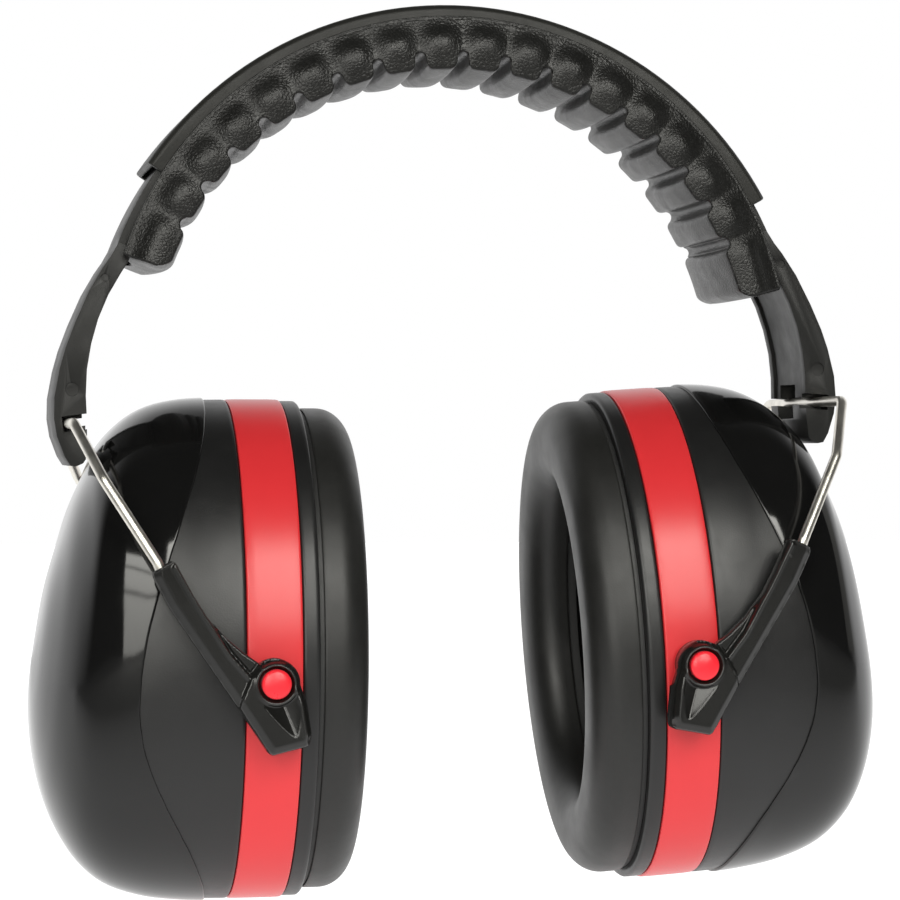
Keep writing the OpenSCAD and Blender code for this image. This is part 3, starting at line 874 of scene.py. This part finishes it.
def make_wire(side):
    """Bent steel wire from the front leg, through the arm's slot, to the rear leg."""
    reach = (joint_place(side + "_fold") - joint_place(side + "_cup_tilt")).length / MM
    hinge = (math.sin(YOKE_DRAWN) * reach, WIRE_HALF, math.cos(YOKE_DRAWN) * reach)
    one = WIRE_CORNERS + [hinge]
    corners = one + [(x, -y, z) for x, y, z in one[::-1]]
    verts, faces = tube(rounded_path(corners, WIRE_BEND), WIRE_R)
    piece = add_piece(side + "_steel_wire", verts, faces, yoke_place(side))
    paint(piece, "wire")
    set_up(piece, side + "_yoke", "wire", side + "_yoke_wire")


def distance_to(points, outline):
    """Signed distance of points to a closed outline, positive inside."""
    a = np.array(outline, float)
    b = np.roll(a, -1, axis=0)
    p = points[:, None, :]
    along = b - a
    t = np.clip(((p - a) * along).sum(-1) / (along ** 2).sum(-1), 0, 1)
    gap = np.linalg.norm(p - (a + t[..., None] * along), axis=-1).min(1)
    rises = (a[:, 1] > p[..., 1]) != (b[:, 1] > p[..., 1])
    cross_x = (b[:, 0] - a[:, 0]) * (p[..., 1] - a[:, 1]) / np.where(
        b[:, 1] == a[:, 1], 1e-9, b[:, 1] - a[:, 1]) + a[:, 0]
    inside = (rises & (p[..., 0] < cross_x)).sum(1) % 2 == 1
    return np.where(inside, gap, -gap)


def distance_to_line(points, a, b):
    """Distance to the line between two points."""
    a, b = np.array(a, float), np.array(b, float)
    t = ((points - a) @ (b - a)) / ((b - a) @ (b - a))
    return np.linalg.norm(points - (a + np.clip(t, 0, 1)[:, None] * (b - a)), axis=1)


def eye_arc(end, count):
    """Points round the leg's eye, up to an angle in degrees."""
    return [(EYE_R * math.cos(a), EYE_R * math.sin(a))
            for a in np.radians(np.linspace(184, end, count))]


def leg_outline():
    """The whole leg's outline: outer edge, foot, eye and web."""
    return LEG_LEFT + LEG_RIGHT + eye_arc(54, 22) + LEG_WEB


def resample(outline, spacing):
    """Points along a closed outline, no further apart than spacing."""
    made = []
    for a, b in zip(outline, outline[1:] + outline[:1]):
        count = max(1, math.ceil(math.dist(a, b) / spacing))
        made += [(a[0] + (b[0] - a[0]) * k / count, a[1] + (b[1] - a[1]) * k / count)
                 for k in range(count)]
    return made


def rounded_outline(outline, radius):
    """A closed outline with its sharper corners rounded."""
    made = []
    count = len(outline)
    for i in range(count):
        a, b, c = (np.array(outline[(i + k) % count], float) for k in (-1, 0, 1))
        into, out = a - b, c - b
        cut = min(radius, np.linalg.norm(into) * 0.4, np.linalg.norm(out) * 0.4)
        p, q = b + into / np.linalg.norm(into) * cut, b + out / np.linalg.norm(out) * cut
        for t in (0.0, 0.33, 0.67, 1.0):
            made.append(tuple((1 - t) ** 2 * p + 2 * t * (1 - t) * b + t * t * q))
    return made


def line_gap(points, line):
    """Distance of points to a line of several corners."""
    return np.min([distance_to_line(points, a, b) for a, b in zip(line, line[1:])], axis=0)


def leg_heights(points, outline):
    """Height of the leg's outer face over its middle plane."""
    rim = distance_to(points, outline)
    eye = eye_arc(60, 16)
    in_top = distance_to(points, LEG_LEFT + LEG_RIGHT + eye + RIDGE)
    in_foot = distance_to(points, LEG_LEFT[5:] + LEG_RIGHT + eye + SHIELD[::-1])
    from_pin = np.linalg.norm(points, axis=1)
    # the web lies low beside the bar, with a slit along the ridge
    web = 1.25
    high = web + (LEG_HALF_T - web) * step(-0.5, 0.0, in_top)
    slit = np.exp(-((in_top + 0.62) / 0.2) ** 2) * step(2.5, 6.0, points[:, 0])
    high = high - 0.7 * slit * (1 - step(11.0, 13.5, points[:, 0]))
    # the bar's face falls back a little from its ridge
    from_ridge = line_gap(points, RIDGE)
    bar = step(0.0, 0.3, in_top) * (1 - step(-0.3, 0.0, in_foot))
    high = high - 0.5 * bar * step(0.15, 1.1, from_ridge)
    # the shield stands over the bar
    shield = step(-0.05, 0.22, in_foot)
    high = high + 0.42 * shield
    # wide bevel along the outer edge and under the foot
    gap = line_gap(points, LEG_LEFT[1:])
    high = high - 1.35 * (1 - np.clip(gap / 1.6, 0, 1))
    # the lip down the inner side of the foot and round the eye
    inner_side = line_gap(points, LEG_LEFT[-1:] + LEG_RIGHT + eye)
    high = high - 1.5 * (1 - np.clip(inner_side / 1.25, 0, 1)) ** 1.3 * step(-0.2, 0.1, in_top)
    high = high + 0.3 * shield * np.exp(-((inner_side - 1.45) / 0.34) ** 2) * step(1.5, 2.4, gap)
    # a scoop below the pin, which runs out downwards
    start, tip = np.array((-1.3, -3.6)), np.array((-4.1, -11.0))
    along = (tip - start) / np.linalg.norm(tip - start)
    down = (points - start) @ along
    aside = np.abs((points - start) @ np.array((-along[1], along[0])))
    t = np.clip(down / np.linalg.norm(tip - start), 0, 1)
    width = 3.6 * (1 - t) ** 0.75 + 0.3
    scoop = np.clip(1 - aside / width, 0, 1) ** 0.85 * np.where(t < 1, 1, 0)
    high = high - (1.75 * (1 - t) ** 0.75 + 0.1) * scoop * step(4.35, 4.9, from_pin) * shield
    # collar and recess round the pin
    collar = step(3.75, 4.0, from_pin) * (1 - step(4.35, 4.8, from_pin))
    high = high + 0.22 * collar
    high = high - 1.3 * (1 - step(3.5, 3.85, from_pin))
    # edge rounded over
    over = 0.4
    d = np.clip(rim, 0, over)
    return high - (over - np.sqrt(np.maximum(over ** 2 - (over - d) ** 2, 0)))


def make_leg(side, end):
    """One black leg of a yoke; end is front or rear."""
    spacing, row = 0.3, 0.866  # points on a grid of equal-sided triangles
    outline = rounded_outline(leg_outline(), 0.5)
    edge = resample(outline, spacing)
    low, high = np.array(edge).min(0), np.array(edge).max(0)
    inner = []
    for i in range(int((high[1] - low[1]) / (spacing * row)) + 1):
        z = low[1] + i * spacing * row
        x = np.arange(low[0] + (i % 2) * spacing / 2, high[0], spacing)
        inner += [(v, z) for v in x]
    inner = np.array(inner)
    inner = inner[distance_to(inner, outline) > 0.14]
    points = [Vector(p) for p in edge] + [Vector(p) for p in inner]
    loop = [(k, (k + 1) % len(edge)) for k in range(len(edge))]
    flat, _, triangles, *_ = delaunay_2d_cdt(points, loop, [], 1, 1e-6)
    flat = np.array([tuple(p) for p in flat])
    outer = leg_heights(flat, outline)
    in_bar = distance_to(flat, LEG_LEFT + LEG_RIGHT + RIDGE)
    from_pin = np.linalg.norm(flat, axis=1)
    thick = np.maximum(step(-0.3, 0.2, in_bar), 1 - step(5.0, 5.6, from_pin))
    thin = 1.1
    back = -(thin + (LEG_HALF_T - thin) * thick)
    sign = -1 if end == "front" else 1
    count = len(flat)
    verts = [(x, sign * (LEG_Y + h), z) for heights in (outer, back)
             for (x, z), h in zip(flat, heights)]
    faces = [tuple(t) for t in triangles]
    faces += [tuple(count + k for k in reversed(t)) for t in triangles]
    # the side wall stands on each edge that only one triangle has
    used = dict.fromkeys(pair for t in triangles for pair in zip(t, t[1:] + t[:1]))
    faces += [(b, a, count + a, count + b) for a, b in used if (b, a) not in used]
    piece = add_piece(f"{side}_{end}_leg", verts, faces, yoke_place(side))
    paint(piece, "leg")
    set_up(piece, side + "_yoke", "leg", f"{side}_leg_{end}")


def make_pins(side):
    """The two red pivot pins, each with a domed head."""
    radius = 3.15
    top = LEG_Y + LEG_HALF_T + 0.55
    profile = [(4.4, 34.4), (4.4, 35.8), (radius - 0.05, 35.8), (radius - 0.05, top - 0.6),
               (radius, top), (radius - 0.08, top + 0.22), (radius - 0.3, top + 0.42),
               (radius - 0.8, top + 0.62), (radius - 1.6, top + 0.78), (0.6, top + 0.88)]
    sides = 56
    verts, faces = [], []
    for sign in (-1, 1):
        base = len(verts)
        for r, y in profile:
            verts += [(r * math.cos(2 * math.pi * k / sides), sign * y,
                       r * math.sin(2 * math.pi * k / sides)) for k in range(sides)]
        faces += grid_faces(len(profile), sides, close_rows=False, start=base)
        verts += [(0, sign * profile[0][1], 0), (0, sign * (top + 0.9), 0)]
        for row, tip in ((0, len(verts) - 2), (len(profile) - 1, len(verts) - 1)):
            first = base + row * sides
            faces += [(first + k, first + (k + 1) % sides, tip) for k in range(sides)]
    piece = add_piece(side + "_pivot_pins", verts, faces, cup_place(side))
    paint(piece, "pin_red")
    set_up(piece, side + "_cup", "pin_red", side + "_pins")


# ---------- CAD nodes that keep their shape ----------


def keep_node(node, material, bevel=0.0):
    """Gives a CAD node its material, and softens its edges with modifiers only."""
    shown = NODES[node]
    shown.data.materials.clear()
    shown.data.materials.append(MATERIALS[material])
    if bevel:
        weld = shown.modifiers.new("weld", "WELD")
        weld.merge_threshold = 1e-6
        flat = shown.modifiers.new("flat", "DECIMATE")
        flat.decimate_type = "DISSOLVE"
        flat.angle_limit = math.radians(0.3)
        soften = shown.modifiers.new("soften", "BEVEL")
        soften.width = bevel * MM
        soften.segments = 2
        soften.limit_method = "ANGLE"
        soften.angle_limit = math.radians(32)
        soften.harden_normals = True
    shade_smooth(shown.data)


# ---------- stage, light and camera ----------

FLOOR_DROP = 0.0085  # keeps the floor clear of the cups when the arms are drawn out
BAR_HALF = 0.02  # half the height of a window's cross-piece, in metres


def make_floor(name, lights):
    """A wide pale floor under the cups. The plain one is only seen; the one that only lights
    the object is a white sheet that ends a little way in front of it and to its sides."""
    reach, z = 3.0, cad_box[0].z - FLOOR_DROP
    mesh = bpy.data.meshes.new(name)
    mesh.from_pydata([(-reach, -reach, z), (reach, -reach, z), (reach, reach, z),
                      (-reach, reach, z)], [], [(0, 1, 2, 3)])
    floor = link(name, mesh)
    f = Finish(name, (0.35, 0.35, 0.35), 0.85, emission_color=(1, 1, 1, 1),
               emission_strength=0.86)
    f.colour(f.blend(f.noise(0.3, 3), (0.34, 0.34, 0.34), (0.37, 0.37, 0.37)))
    if lights:
        aside = f.math("MULTIPLY", f.math("ABSOLUTE", f.along("X")), 0.35)
        lit = f.spread(f.math("SUBTRACT", f.along("Y"), aside), -0.31, -0.09, 0.04, 1.0)
        f.glow(lit, (1.0, 1.0, 1.0))
        floor.visible_camera = False
    else:
        floor.visible_diffuse = floor.visible_glossy = floor.visible_shadow = False
    floor.data.materials.append(f.material)


def make_world():
    """White to the camera, and a dimmer studio to everything else."""
    world = bpy.data.worlds.new("studio")
    bpy.context.scene.world = world
    world.use_nodes = True
    nodes, links = world.node_tree.nodes, world.node_tree.links
    nodes.clear()
    out = nodes.new("ShaderNodeOutputWorld")
    mix = nodes.new("ShaderNodeMixShader")
    seen, lit = nodes.new("ShaderNodeBackground"), nodes.new("ShaderNodeBackground")
    seen.inputs["Color"].default_value = (1, 1, 1, 1)
    path = nodes.new("ShaderNodeLightPath")
    coords = nodes.new("ShaderNodeTexCoord")
    split = nodes.new("ShaderNodeSeparateXYZ")
    links.new(coords.outputs["Generated"], split.inputs[0])

    def fade(axis, *numbers):
        node = map_range(world.node_tree, split.outputs[axis], *numbers)
        node.interpolation_type = "SMOOTHSTEP"
        return node.outputs["Result"]

    # a white backdrop behind the object, and a dark room in front of it and overhead
    both = nodes.new("ShaderNodeMath")
    both.operation = "MULTIPLY_ADD"
    links.new(fade("Y", 0.0, 0.55, 0.0, 1.0), both.inputs[0])
    links.new(fade("Z", 0.45, 0.95, 1.0, 0.15), both.inputs[1])
    both.inputs[2].default_value = 0.024
    grey = nodes.new("ShaderNodeCombineColor")
    for k in range(3):
        links.new(both.outputs[0], grey.inputs[k])
    links.new(grey.outputs[0], lit.inputs["Color"])
    links.new(path.outputs["Is Camera Ray"], mix.inputs[0])
    links.new(lit.outputs[0], mix.inputs[1])
    links.new(seen.outputs[0], mix.inputs[2])
    links.new(mix.outputs[0], out.inputs["Surface"])


def make_camera():
    """The photograph's view: level, a little from the left, with a long lens."""
    turn, distance, height = math.radians(10.5), 0.730, 0.044
    data = bpy.data.cameras.new("camera")
    data.sensor_width = 36
    data.lens = 129.1
    data.clip_start = 0.05
    camera = link("camera", data)
    camera.location = (-distance * math.sin(turn), -distance * math.cos(turn), height)
    camera.rotation_euler = (math.pi / 2, 0, -turn)
    bpy.context.scene.camera = camera


def add_window(name, bearing, distance, width, low, high, glow, bars=()):
    """A tall window facing the object; its bearing is from the front, left positive.
    Bars are dark cross-pieces at shares of its height."""
    turn, middle = math.radians(bearing), (low + high) / 2
    w, h = width / 2, (high - low) / 2
    mesh = bpy.data.meshes.new(name)
    mesh.from_pydata([(-w, 0, -h), (w, 0, -h), (w, 0, h), (-w, 0, h)], [], [(0, 1, 2, 3)])
    window = link(name, mesh)
    window.location = (-distance * math.sin(turn), -distance * math.cos(turn), middle)
    window.rotation_euler = (0, 0, -turn)
    window.visible_camera = False
    f = Finish(name + "_light", (0, 0, 0), 1.0, emission_strength=glow)
    light = f.spread(f.along("Z"), -h, h, 0.5, 1.0)
    for share in bars:
        bar = f.math("COMPARE", f.along("Z"), -h + 2 * h * share, BAR_HALF)
        light = f.math("SUBTRACT", light, f.math("MULTIPLY", bar, 0.6))
    f.glow(light, (1.0, 0.99, 0.93))
    window.data.materials.append(f.material)


# ---------- the object and its scene ----------

for side in SIDES:
    make_shell(side)
    make_cap(side)
    make_stripe(side)
    make_cushion(side)
    make_foam(side)
    make_wire(side)
    make_leg(side, "front")
    make_leg(side, "rear")
    make_pins(side)
    keep_node(side + "_plate", "plate")
    keep_node(side + "_arm", "arm", bevel=0.6)
make_head_pad()
keep_node("band_cover", "cover", bevel=0.4)
keep_node("band_liner", "liner")
keep_node("band_spring", "spring")

make_floor("pale_floor", lights=False)
make_floor("white_sheet", lights=True)
make_world()
make_camera()
add_window("front_window", -12, 1.6, 0.8, 0.24, 1.3, 10.5, bars=(0.3, 0.5))
add_window("left_window", 24.5, 1.4, 0.74, -0.03, 0.85, 7.5, bars=(0.5, 0.8))
add_window("right_window", -95, 1.0, 0.3, 0.0, 0.6, 0.6)

view = bpy.context.scene.view_settings
view.view_transform = "Standard"
view.look = "None"
